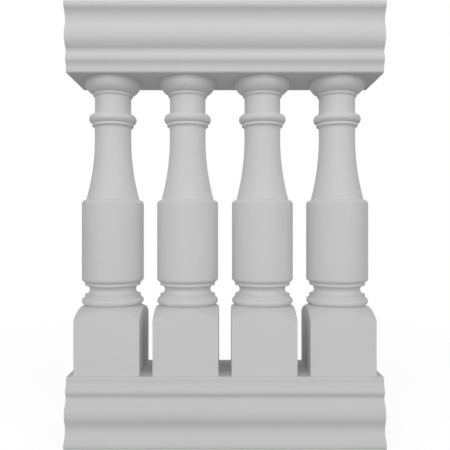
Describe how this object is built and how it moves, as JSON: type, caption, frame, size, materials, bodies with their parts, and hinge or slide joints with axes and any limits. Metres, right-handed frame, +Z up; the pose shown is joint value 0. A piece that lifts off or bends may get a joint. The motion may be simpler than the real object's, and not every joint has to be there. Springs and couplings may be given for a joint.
{
  "type": "fiberglass balustrade section",
  "caption": "Straight fiberglass balustrade section: turned vase balusters on domed square feet between hollow moulded rails, clamped by inner tie rods.",
  "frame": {"origin": "middle of the bottom rail's underside, on the floor", "axes": "+X along the rails, +Y away from the picture's viewer, +Z up"},
  "size_m": [0.656, 0.1872, 0.914],
  "materials": {
    "gelcoat": "light grey satin gel coat with a faint orange peel",
    "gelcoat_board": "light grey satin gel coat on a flat laminate board",
    "zinc_steel": "zinc plated, slightly dulled"
  },
  "bodies": {
    "root": {"top_rail": "gelcoat", "top_rail_soffit": "gelcoat_board", "bottom_rail": "gelcoat", "bottom_rail_seat": "gelcoat_board", "baluster_1": "gelcoat", "baluster_2": "gelcoat", "baluster_3": "gelcoat", "baluster_4": "gelcoat", "tie_rod_1": "zinc_steel", "tie_rod_2": "zinc_steel", "tie_rod_3": "zinc_steel", "tie_rod_4": "zinc_steel", "top_washer_1": "zinc_steel", "top_washer_2": "zinc_steel", "top_washer_3": "zinc_steel", "top_washer_4": "zinc_steel", "top_nut_1": "zinc_steel", "top_nut_2": "zinc_steel", "top_nut_3": "zinc_steel", "top_nut_4": "zinc_steel", "bottom_washer_1": "zinc_steel", "bottom_washer_2": "zinc_steel", "bottom_washer_3": "zinc_steel", "bottom_washer_4": "zinc_steel", "bottom_nut_1": "zinc_steel", "bottom_nut_2": "zinc_steel", "bottom_nut_3": "zinc_steel", "bottom_nut_4": "zinc_steel"}
  },
  "joints": []
}
